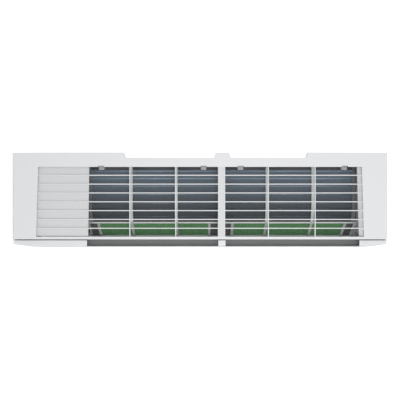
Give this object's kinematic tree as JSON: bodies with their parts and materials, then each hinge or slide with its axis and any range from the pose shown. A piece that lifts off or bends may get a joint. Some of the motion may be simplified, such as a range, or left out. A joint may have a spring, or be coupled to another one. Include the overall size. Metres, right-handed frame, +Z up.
{
  "type": "wall-mounted split air conditioner indoor unit",
  "caption": "Long white indoor unit with a slatted air intake in its top, dark filters below it and a hinged front panel.",
  "frame": {"origin": "middle of the flat band on the rear that rests against the wall, at the middle of the width", "axes": "+X along the unit, to the right when seen from the front, +Y into the wall, +Z up"},
  "size_m": [0.835, 0.2127, 0.295],
  "materials": {
    "casing_white": "satin moulded plastic",
    "panel_white": "gloss moulded plastic",
    "grille_white": "satin moulded plastic",
    "inner_white": "matt moulded plastic",
    "ledge_grey": "matt moulded plastic",
    "clip_grey": "matt moulded plastic",
    "filter_frame_grey": "matt moulded plastic",
    "filter_mesh_grey": "fine woven mesh",
    "pane_green": "pleated paper",
    "pane_black": "dark foam",
    "chassis_grey": "matt moulded plastic",
    "coil_fins": "thin bright fins",
    "fan_black": "matt moulded plastic"
  },
  "bodies": {
    "casing": {"top_cover": "casing_white", "intake_grille": "grille_white", "control_bay_plate": "inner_white", "right_inner_wall": "inner_white", "left_end_panel": "casing_white", "right_end_panel": "casing_white", "rear_wall": "chassis_grey", "wall_band": "chassis_grey", "pipe_channel": "chassis_grey", "bottom_cover": "casing_white", "lower_frame": "casing_white", "outlet_flap": "panel_white", "front_frame": "chassis_grey", "filter_frame_left": "filter_frame_grey", "filter_frame_right": "filter_frame_grey", "filter_mesh_left": "filter_mesh_grey", "filter_mesh_right": "filter_mesh_grey", "green_panes_left": "pane_green", "green_panes_right": "pane_green", "end_panes_left": "pane_black", "end_panes_right": "pane_black", "filter_clips": "clip_grey", "side_plate_left": "chassis_grey", "side_plate_right": "chassis_grey", "centre_rail": "chassis_grey", "rear_coil": "coil_fins", "top_coil": "coil_fins", "front_coil": "coil_fins", "crossflow_fan": "fan_black", "air_guide": "chassis_grey", "drain_pan": "chassis_grey", "hinge_lugs": "casing_white"},
    "panel": {"front_panel": "panel_white", "panel_ledge": "ledge_grey", "hinge_arms": "panel_white"}
  },
  "joints": [
    {"name": "panel_hinge", "type": "hinge", "parent": "casing", "child": "panel", "pos_m": [0, -0.199, 0.1875], "axis": [-1, 0, 0], "range_deg": [0, 58]}
  ]
}
